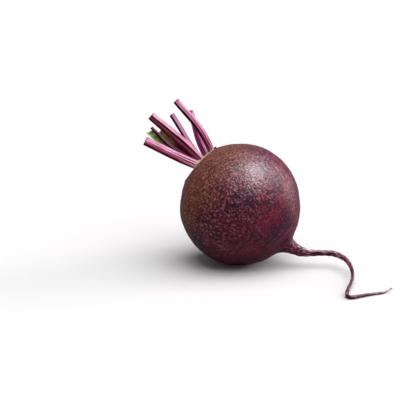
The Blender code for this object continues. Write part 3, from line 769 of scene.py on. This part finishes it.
def make_blade(material):
    """The blade as a sheet over (along, across), folded forward at both margins.

    A point is the stalk's centre line, plus across * width * side, plus the fold, which
    grows with across squared, plus vein ridges and small random crumples.
    """
    rings, stations, tangents, sides, fronts = stalk_rings(STALKS["young_leaf_stalk"],
                                                           STALK_RINGS)
    along = np.linspace(0.0, 1.0, BLADE_RINGS)[:, None]
    across = np.linspace(-1.0, 1.0, BLADE_STEPS)[None, :]
    reach = 1.0 - BLADE_SLANT * (1.0 + np.minimum(across, 0.0))
    reach = reach + (BLADE_RIGHT_REACH - 1.0 + BLADE_SLANT) * smooth((across + 0.1) / 0.35)
    s = BLADE_START + (stations[-1] - BLADE_START) * along * reach
    width = np.where(across < 0.0, BLADE_LEFT_WIDTH, BLADE_RIGHT_WIDTH)
    left_spread = BLADE_LEFT_FOOT + (1.0 - BLADE_LEFT_FOOT) * smooth(along * 1.25 - 0.2)
    right_spread = BLADE_RIGHT_FOOT + (1.0 - BLADE_RIGHT_FOOT) * smooth(along * 1.1)
    spread = np.where(across < 0.0, left_spread, right_spread)
    flat = s.ravel()
    centre, side, front = (
        np.stack([np.interp(flat, stations, column) for column in rows.T], axis=1)
        .reshape(*s.shape, 3) for rows in (rings[:, :3], sides, fronts))
    behind = np.interp(flat, stations, rings[:, 4]).reshape(s.shape)
    behind = behind + STALK_GAP + 0.5 * BLADE_SOLID_THICKNESS
    fold = BLADE_FOLD + BLADE_WAVE * np.sin(5.0 * along * math.pi)
    fold = fold * spread * across**2
    sheet = np.stack([across * width + 0.0 * s, s, 0.0 * s], axis=-1)
    vein = vein_strength(along, across)
    crumple = 0.35 * lumps(sheet, 3.2, 41) + 0.18 * lumps(sheet, 1.4, 42)
    lift = (crumple * np.abs(across)**0.5 - 0.22 * vein) * spread
    points = (centre + (across * width * spread)[..., None] * side
              + (fold - behind + lift)[..., None] * front)
    fields = {
        "along": (along + 0.0 * across).ravel(),
        "across": (across + 0.0 * along).ravel(),
        "vein": vein.ravel(),
        "straight": sheet.reshape(-1, 3),
    }
    ring, step = np.meshgrid(np.arange(BLADE_RINGS - 1), np.arange(BLADE_STEPS - 1),
                             indexing="ij")
    corner = (ring * BLADE_STEPS + step).ravel()
    faces = [np.stack([corner, corner + 1, corner + BLADE_STEPS + 1, corner + BLADE_STEPS],
                      axis=-1)]
    piece = make_mesh_object("young_leaf_blade_skin", to_world(points.reshape(-1, 3)),
                             faces, fields)
    wall = piece.modifiers.new("leaf_thickness", "SOLIDIFY")
    wall.thickness = BLADE_THICKNESS * MM
    wall.offset = 0.0
    dress(piece, material, "young_leaf_blade")
    return piece


def vein_strength(along, across):
    """1 on a vein and 0 between: the middle rib and slanting side veins, as bell curves."""
    rib = np.exp(-(across / 0.07)**2)
    wave = (along * 6.5 - np.abs(across) * 1.6) % 1.0
    side_veins = np.exp(-((wave - 0.5) / 0.09)**2) * smooth((1.02 - np.abs(across)) / 0.3)
    return np.maximum(rib, 0.8 * side_veins)


# Withered bud

def make_bud(material):
    """A small dried bud: wrinkled rings along a short leaning line, closed at both ends."""
    rows = np.hstack([BUD_LINE, np.array(BUD_RADII)[:, None]])
    rings, stations = even_along(catmull_rom(rows), BUD_RINGS)
    tangents = unit(np.gradient(rings[:, :3], axis=0))
    leans = smooth(stations / 2.5)[:, None]
    tangents = unit((1.0 - leans) * np.array((0.0, 0.0, 1.0)) + leans * tangents)
    sides, fronts = transported_frames(tangents, np.array((1.0, 0.0, 0.0)))
    a = (TAU * np.arange(BUD_STEPS) / BUD_STEPS)[None, :]
    s = stations[:, None]
    r = rings[:, 3:4]
    straight = np.stack([r * np.cos(a), r * np.sin(a), s + 0.0 * a], axis=-1)
    wrinkles = 1.0 + 0.12 * np.cos(4.0 * a + s) + 0.08 * np.cos(9.0 * a - 1.4 * s)
    reach = r * wrinkles + 0.12 * lumps(straight, 0.7, 61)
    reach = reach * np.sqrt(np.clip((stations[-1] + 0.12 - s) / 0.6, 0.05, 1.0))
    points = (rings[:, None, :3] + (reach * np.cos(a))[..., None] * sides[:, None]
              + (reach * np.sin(a))[..., None] * fronts[:, None])
    tip = rings[-1, :3] + 0.1 * tangents[-1]
    all_points = np.vstack([rings[:1, :3], points.reshape(-1, 3), tip[None]])
    fields = {"straight": np.vstack([[(0.0, 0.0, 0.0)], straight.reshape(-1, 3),
                                     [(0.0, 0.0, stations[-1])]])}
    piece = make_mesh_object("withered_bud_skin", to_world(all_points),
                             tube_faces(BUD_RINGS, BUD_STEPS), fields)
    dress(piece, material, "withered_bud")
    return piece


# Camera, light and floor

def picture_axes():
    """Right, up and away directions of the camera."""
    sine, cosine = math.sin(VIEW_ELEVATION), math.cos(VIEW_ELEVATION)
    return (np.array((1.0, 0.0, 0.0)), np.array((0.0, sine, cosine)),
            np.array((0.0, cosine, -sine)))


def make_camera():
    """A level camera to the front whose frame puts the globe where the picture has it."""
    right, up, away = picture_axes()
    mm_per_px = GLOBE_WIDTH / GLOBE_WIDTH_PX
    middle = 0.5 * PICTURE_PX
    aim = (CENTRE + mm_per_px * (middle - GLOBE_CENTRE_PX[0]) * right
           + mm_per_px * (GLOBE_CENTRE_PX[1] - middle) * up)
    data = bpy.data.cameras.new("front_camera")
    data.sensor_width = SENSOR_WIDTH
    data.lens = SENSOR_WIDTH * VIEW_DISTANCE / (mm_per_px * PICTURE_PX)
    data.clip_end = 20.0
    camera = bpy.data.objects.new("front_camera", data)
    camera.location = Vector((aim - VIEW_DISTANCE * away) * MM)
    camera.rotation_euler = (0.5 * math.pi - VIEW_ELEVATION, 0.0, 0.0)
    bpy.context.scene.collection.objects.link(camera)
    bpy.context.scene.camera = camera


def make_sun(name, direction, strength, width, colour, gloss_only=False):
    """A far soft light from the given direction, whose disc is width degrees across."""
    data = bpy.data.lights.new(name, "SUN")
    data.energy = strength
    data.angle = math.radians(width)
    data.color = colour
    light = bpy.data.objects.new(name, data)
    light.rotation_euler = Vector(direction).to_track_quat("Z", "Y").to_euler()
    light.visible_diffuse = not gloss_only
    bpy.context.scene.collection.objects.link(light)


def make_studio():
    world = bpy.data.worlds.new("studio_world")
    world.use_nodes = True
    background = world.node_tree.nodes["Background"]
    background.inputs["Color"].default_value = (1.0, 1.0, 1.0, 1.0)
    background.inputs["Strength"].default_value = 0.15
    bpy.context.scene.world = world
    bpy.context.scene.view_settings.view_transform = "Standard"
    make_sun("overhead", (0.3, -0.1, 1.0), 2.75, 80.0, (1.0, 0.99, 0.99))
    make_sun("key", (0.42, -0.05, 0.89), 9.5, 28.0, (0.98, 0.95, 1.0), gloss_only=True)
    make_sun("rim", (0.95, 0.3, 0.3), 1.2, 30.0, (1.0, 0.94, 0.97))

    mesh = bpy.data.meshes.new("floor")
    half = 6.0
    mesh.from_pydata([(-half, -half, 0.0), (half, -half, 0.0), (half, half, 0.0),
                      (-half, half, 0.0)], [], [(0, 1, 2, 3)])
    floor = bpy.data.objects.new("floor", mesh)
    bpy.context.scene.collection.objects.link(floor)
    material = bpy.data.materials.new("pale_floor")
    material.use_nodes = True
    tree = material.node_tree
    shader = tree.nodes["Principled BSDF"]
    seen = tree.nodes.new("ShaderNodeLightPath").outputs["Is Camera Ray"]
    shade = blend(tree, seen, (0.35, 0.34, 0.35, 1.0), (0.93, 0.93, 0.93, 1.0))
    tree.links.new(shade, shader.inputs["Base Color"])
    shader.inputs["Roughness"].default_value = 0.9
    shader.inputs["Specular IOR Level"].default_value = 0.0
    mesh.materials.append(material)


# Materials

def colour(red, green, blue):
    """A colour given as on a screen, 0 to 255, turned into linear light."""
    share = np.array((red, green, blue)) / 255.0
    linear = np.where(share <= 0.04045, share / 12.92, ((share + 0.055) / 1.055)**2.4)
    return (*linear.tolist(), 1.0)


def add(tree, kind, inputs=None, **settings):
    """A new node with its settings, its inputs being plain values or other nodes' outputs."""
    node = tree.nodes.new(kind)
    for name, value in settings.items():
        setattr(node, name, value)
    for name, value in (inputs or {}).items():
        if isinstance(value, bpy.types.NodeSocket):
            tree.links.new(value, node.inputs[name])
        else:
            node.inputs[name].default_value = value
    return node


def field(tree, name, output="Fac"):
    return add(tree, "ShaderNodeAttribute", attribute_name=name).outputs[output]


def calc(tree, operation, *values):
    node = add(tree, "ShaderNodeMath", dict(enumerate(values)), operation=operation)
    return node.outputs[0]


def remap(tree, value, low, high, to_low=0.0, to_high=1.0):
    """The value's range from low to high carried over to another range, smooth at its ends."""
    node = add(tree, "ShaderNodeMapRange", {"Value": value, "From Min": low, "From Max": high,
                                            "To Min": to_low, "To Max": to_high},
               interpolation_type="SMOOTHSTEP")
    return node.outputs["Result"]


def stretch(tree, vector, x, y, z):
    node = add(tree, "ShaderNodeVectorMath", {0: vector, 1: (x, y, z)}, operation="MULTIPLY")
    return node.outputs[0]


def blend(tree, share, first, second, how="MIX"):
    """Colour mix: inputs 0, 6 and 7 are the share and the two colours."""
    node = add(tree, "ShaderNodeMix", {0: share, 6: first, 7: second}, data_type="RGBA",
               blend_type=how)
    return node.outputs[2]


def noise(tree, vector, scale, detail=2.0):
    node = add(tree, "ShaderNodeTexNoise", {"Vector": vector, "Scale": scale,
                                            "Detail": detail})
    return node.outputs["Fac"]


def ramp(tree, value, stops):
    """Colours at the given places of the value's range, blended between them."""
    node = add(tree, "ShaderNodeValToRGB", {"Fac": value})
    elements = node.color_ramp.elements
    while len(elements) < len(stops):
        elements.new(0.5)
    for element, (place, shade) in zip(elements, stops):
        element.position = place
        element.color = shade
    return node.outputs["Color"]


def new_group(name, inputs, outputs):
    """An empty shader group with the named sockets, and its two end nodes."""
    group = bpy.data.node_groups.new(name, "ShaderNodeTree")
    for label, kind, start in inputs:
        socket = group.interface.new_socket(label, in_out="INPUT", socket_type=kind)
        if start is not None:
            socket.default_value = start
    for label in outputs:
        group.interface.new_socket(label, in_out="OUTPUT", socket_type="NodeSocketFloat")
    return group, group.nodes.new("NodeGroupInput"), group.nodes.new("NodeGroupOutput")


def make_pores_group():
    """Small dark pores and the raised skin between them, on a vector in millimetres.

    A pore is where the nearest cell point is close.  Noise bends the cells and varies how
    deep each pore is.
    """
    group, given, result = new_group(
        "skin_pores", [("Vector", "NodeSocketVector", None), ("Cells", "NodeSocketFloat", 0.6)],
        ["Pore", "Ridge"])
    vector = given.outputs["Vector"]
    bend = add(group, "ShaderNodeTexNoise", {"Vector": vector, "Scale": 0.9, "Detail": 1.0})
    bent = add(group, "ShaderNodeVectorMath", {0: bend.outputs["Color"], 1: (1.1, 1.1, 1.1),
                                               2: vector}, operation="MULTIPLY_ADD")
    cells = add(group, "ShaderNodeTexVoronoi", {"Vector": bent.outputs[0],
                                                "Scale": given.outputs["Cells"],
                                                "Randomness": 0.8})
    depth = remap(group, noise(group, vector, 0.4), 0.34, 0.6, 0.35, 1.0)
    pore = remap(group, cells.outputs["Distance"], 0.10, 0.50, 1.0, 0.0)
    grain = remap(group, noise(group, vector, 1.7, 3.0), 0.3, 0.7)
    ridge = calc(group, "MULTIPLY", remap(group, cells.outputs["Distance"], 0.35, 0.72), grain)
    group.links.new(calc(group, "MULTIPLY", pore, depth), result.inputs["Pore"])
    group.links.new(ridge, result.inputs["Ridge"])
    return group


def make_specks_group():
    """Fine grit of the skin: dark pits and pale specks, from one noise cut at both ends."""
    group, given, result = new_group(
        "skin_specks", [("Vector", "NodeSocketVector", None),
                        ("Fineness", "NodeSocketFloat", 0.7)], ["Pit", "Speck", "Relief"])
    grit = noise(group, given.outputs["Vector"], given.outputs["Fineness"], 2.0)
    group.links.new(remap(group, grit, 0.36, 0.52, 1.0, 0.0), result.inputs["Pit"])
    group.links.new(remap(group, grit, 0.52, 0.66), result.inputs["Speck"])
    group.links.new(remap(group, grit, 0.36, 0.66), result.inputs["Relief"])
    return group


def make_fibres_group():
    """Fibres along a straightened piece, as noise drawn out along its z axis."""
    group, given, result = new_group(
        "long_fibres", [("Vector", "NodeSocketVector", None),
                        ("Fineness", "NodeSocketFloat", 1.5),
                        ("Draw", "NodeSocketVector", (1.0, 1.0, 0.05))],
        ["Fibre", "Streak"])
    drawn = add(group, "ShaderNodeVectorMath", {0: given.outputs["Vector"],
                                                1: given.outputs["Draw"]},
                operation="MULTIPLY").outputs[0]
    grain = noise(group, drawn, given.outputs["Fineness"], 3.0)
    group.links.new(grain, result.inputs["Fibre"])
    group.links.new(remap(group, grain, 0.56, 0.70), result.inputs["Streak"])
    return group


def use_group(tree, group, inputs):
    return add(tree, "ShaderNodeGroup", inputs, node_tree=group).outputs


def new_material(name):
    material = bpy.data.materials.new(name)
    material.use_nodes = True
    tree = material.node_tree
    return material, tree, tree.nodes["Principled BSDF"]


def raise_surface(tree, shader, height, depth):
    """Feeds the height, from 0 to 1, to the shader as relief that is depth mm deep."""
    bump = add(tree, "ShaderNodeBump", {"Height": height, "Distance": depth * MM,
                                        "Strength": 1.0})
    tree.links.new(bump.outputs["Normal"], shader.inputs["Normal"])


def make_root_material(specks_group, pores_group, fibres_group):
    """Beet skin: brown cork round the crown, purple below, grit, scars, worn bands, painted sheen.
    """
    material, tree, shader = new_material("beet_skin")
    straight = field(tree, "straight", "Vector")
    grown = field(tree, "grown", "Vector")
    cork, tail = field(tree, "cork"), field(tree, "on_tail")
    speckled, worn_and_sheen = field(tree, "speckled"), field(tree, "worn_and_sheen")
    specks = use_group(tree, specks_group, {"Vector": stretch(tree, straight, 1.0, 1.0, 0.7),
                                            "Fineness": 0.85})
    pores = use_group(tree, pores_group, {"Vector": straight, "Cells": 0.3})
    along = use_group(tree, fibres_group, {"Vector": straight, "Fineness": 0.6,
                                           "Draw": (1.0, 1.0, 0.06)})
    around = use_group(tree, fibres_group, {"Vector": straight, "Fineness": 0.8,
                                            "Draw": (0.07, 0.07, 1.0)})

    purple = ramp(tree, noise(tree, grown, 0.07, 2.0),
                  [(0.35, colour(70, 0, 44)), (0.5, colour(98, 2, 46)),
                   (0.65, colour(120, 16, 50))])
    brown = ramp(tree, noise(tree, grown, 0.28, 4.0),
                 [(0.3, colour(96, 34, 24)), (0.5, colour(126, 56, 40)),
                  (0.7, colour(152, 82, 60))])
    ground = blend(tree, cork, purple, brown)
    pale = blend(tree, cork, colour(196, 128, 150), colour(208, 146, 122))
    # Pale bands: rubbed wear, and on the right flank a painted rim reflection; streaks are
    # strongest in them.
    skin = blend(tree, calc(tree, "MULTIPLY", worn_and_sheen, 0.35), ground, colour(164, 112, 112))
    streaks = calc(tree, "MULTIPLY", along["Streak"], remap(tree, worn_and_sheen, 0.0, 0.8, 0.12, 1.0))
    skin = blend(tree, streaks, skin, pale)
    skin = blend(tree, calc(tree, "MULTIPLY", around["Streak"], 0.15), skin, pale)
    skin = blend(tree, calc(tree, "MULTIPLY", calc(tree, "MULTIPLY", specks["Speck"], speckled),
                            0.55), skin, pale)
    skin = blend(tree, calc(tree, "MULTIPLY", calc(tree, "MULTIPLY", specks["Pit"], speckled),
                            0.8), skin, blend(tree, cork, colour(26, 2, 20), colour(60, 16, 10)))
    skin = blend(tree, calc(tree, "MULTIPLY", pores["Pore"], 0.7), skin, colour(22, 4, 12))
    skin = blend(tree, calc(tree, "MULTIPLY", field(tree, "dark_scar"), 0.85), skin,
                 colour(30, 8, 16))
    skin = blend(tree, calc(tree, "MULTIPLY", field(tree, "pale_scratch"), 0.6), skin, pale)

    tail_fibres = use_group(tree, fibres_group, {"Vector": straight, "Fineness": 1.6,
                                                 "Draw": (1.0, 1.0, 0.12)})
    # Tail fibres from dark to pale; the palest stop is painted glints of light along the fibres.
    tail_skin_and_glints = ramp(tree, tail_fibres["Fibre"],
                     [(0.35, colour(30, 2, 16)), (0.48, colour(84, 12, 40)),
                      (0.58, colour(140, 56, 90)), (0.68, colour(236, 186, 204))])
    skin = blend(tree, tail, skin, tail_skin_and_glints)
    height = remap(tree, add(tree, "ShaderNodeSeparateXYZ", {0: grown}).outputs["Z"],
                   CROWN_FLOOR - 0.3, CROWN_FLOOR + 1.7)
    tissue = ramp(tree, height, [(0.0, colour(66, 26, 28)), (0.3, colour(132, 76, 64)),
                                 (0.6, colour(190, 134, 114)), (1.0, colour(240, 208, 190))])
    skin = blend(tree, field(tree, "crown"), skin, tissue)
    tree.links.new(skin, shader.inputs["Base Color"])

    rough = remap(tree, cork, 0.0, 1.0, 0.40, 0.6)
    tree.links.new(rough, shader.inputs["Roughness"])
    shader.inputs["Specular IOR Level"].default_value = 0.3
    relief = calc(tree, "MULTIPLY", specks["Relief"], speckled)
    relief = calc(tree, "SUBTRACT", relief, pores["Pore"])
    relief = calc(tree, "ADD", relief, calc(tree, "MULTIPLY", around["Fibre"], 0.5))
    raise_surface(tree, shader, relief, 0.13)
    return material


def make_stalk_material(name, stops, fibres_group, pores_group):
    """Stalk skin: dark to pale tones in fine fibres with painted light, a cream foot, a fleshy
    cut.
    """
    material, tree, shader = new_material(name)
    straight = field(tree, "straight", "Vector")
    fibres = use_group(tree, fibres_group, {"Vector": straight, "Fineness": 3.2,
                                            "Draw": (1.0, 1.0, 0.05)})
    tone_with_light = calc(tree, "ADD", remap(tree, field(tree, "tone_with_light"), 0.0, 1.0),
                remap(tree, fibres["Fibre"], 0.3, 0.7, -0.12, 0.12))
    skin = ramp(tree, tone_with_light, stops)
    skin = blend(tree, calc(tree, "MULTIPLY", field(tree, "foot"), 0.7), skin,
                 colour(236, 196, 186))
    bundles = use_group(tree, pores_group, {"Vector": straight, "Cells": 1.1})
    flesh = ramp(tree, bundles["Pore"], [(0.0, colour(196, 110, 140)),
                                         (1.0, colour(84, 20, 46))])
    skin = blend(tree, field(tree, "cut"), skin, flesh)
    tree.links.new(skin, shader.inputs["Base Color"])
    tree.links.new(remap(tree, fibres["Fibre"], 0.3, 0.7, 0.30, 0.46),
                   shader.inputs["Roughness"])
    shader.inputs["Specular IOR Level"].default_value = 0.05
    raise_surface(tree, shader, fibres["Fibre"], 0.10)
    return material


def make_blade_material(fibres_group):
    """Leaf blade: green to olive with pale margins and veins, mauve and painted shade where it
    narrows.
    """
    material, tree, shader = new_material("leaf_skin")
    straight = field(tree, "straight", "Vector")
    along, across = field(tree, "along"), field(tree, "across")
    patch = noise(tree, straight, 0.35, 3.0)
    left = ramp(tree, patch, [(0.3, colour(84, 122, 22)), (0.5, colour(140, 178, 66)),
                              (0.7, colour(196, 216, 124))])
    right = ramp(tree, patch, [(0.3, colour(128, 140, 26)), (0.5, colour(192, 196, 66)),
                               (0.7, colour(238, 228, 140))])
    leaf = blend(tree, remap(tree, across, -0.1, 0.1), left, right)
    margin = remap(tree, calc(tree, "ABSOLUTE", across), 0.82, 1.0)
    leaf = blend(tree, calc(tree, "MULTIPLY", margin, 0.6), leaf, colour(214, 222, 176))
    leaf = blend(tree, calc(tree, "MULTIPLY", field(tree, "vein"), 0.55), leaf,
                 colour(198, 140, 130))
    # Mauve towards the foot: the petiole wing's own colour, darkened as painted shade.
    leaf = blend(tree, remap(tree, along, 0.36, 0.62, 1.0, 0.0), leaf, colour(112, 44, 74))
    tree.links.new(leaf, shader.inputs["Base Color"])
    shader.inputs["Roughness"].default_value = 0.45
    fibres = use_group(tree, fibres_group, {"Vector": straight, "Fineness": 2.4,
                                            "Draw": (1.0, 0.15, 1.0)})
    raise_surface(tree, shader, fibres["Fibre"], 0.12)
    return material


def make_bud_material(pores_group):
    """Dried bud: nearly black, with tan crumbs on its wrinkles."""
    material, tree, shader = new_material("dried_bud")
    straight = field(tree, "straight", "Vector")
    crumbs = use_group(tree, pores_group, {"Vector": straight, "Cells": 1.6})
    skin = ramp(tree, crumbs["Ridge"], [(0.0, colour(12, 8, 9)), (0.5, colour(44, 30, 28)),
                                        (1.0, colour(120, 92, 76))])
    tree.links.new(skin, shader.inputs["Base Color"])
    shader.inputs["Roughness"].default_value = 0.8
    raise_surface(tree, shader, crumbs["Ridge"], 0.2)
    return material


# The palest stops paint highlights and the darkest paint shade on the stalks' stripes.
CRIMSON_TONES = [(0.0, colour(54, 0, 18)), (0.2, colour(108, 14, 46)),
                 (0.4, colour(156, 52, 92)), (0.6, colour(204, 98, 142)),
                 (0.8, colour(242, 160, 196)), (1.0, colour(255, 214, 238))]
MAGENTA_TONES = [(0.0, colour(58, 0, 34)), (0.2, colour(110, 4, 70)),
                 (0.4, colour(160, 40, 118)), (0.6, colour(212, 92, 164)),
                 (0.8, colour(246, 152, 208)), (1.0, colour(255, 206, 242))]
MAUVE_TONES = [(0.0, colour(20, 2, 10)), (0.2, colour(84, 34, 54)),
               (0.4, colour(146, 84, 108)), (0.6, colour(196, 122, 160)),
               (1.0, colour(240, 190, 220))]

make_camera()
make_studio()
pores = make_pores_group()
fibres = make_fibres_group()
make_root(make_root_material(make_specks_group(), pores, fibres))
crimson_stalk = make_stalk_material("crimson_stalk", CRIMSON_TONES, fibres, pores)
magenta_stalk = make_stalk_material("magenta_stalk", MAGENTA_TONES, fibres, pores)
mauve_stalk = make_stalk_material("mauve_stalk", MAUVE_TONES, fibres, pores)
make_stalk("stalk_1", crimson_stalk, 100)
make_stalk("stalk_2", crimson_stalk, 120)
make_stalk("stalk_3", magenta_stalk, 140)
make_stalk("stalk_4", crimson_stalk, 160)
make_stalk("stalk_5", magenta_stalk, 180)
make_stalk("young_leaf_stalk", mauve_stalk, 200)
make_blade(make_blade_material(fibres))
make_bud(make_bud_material(pores))
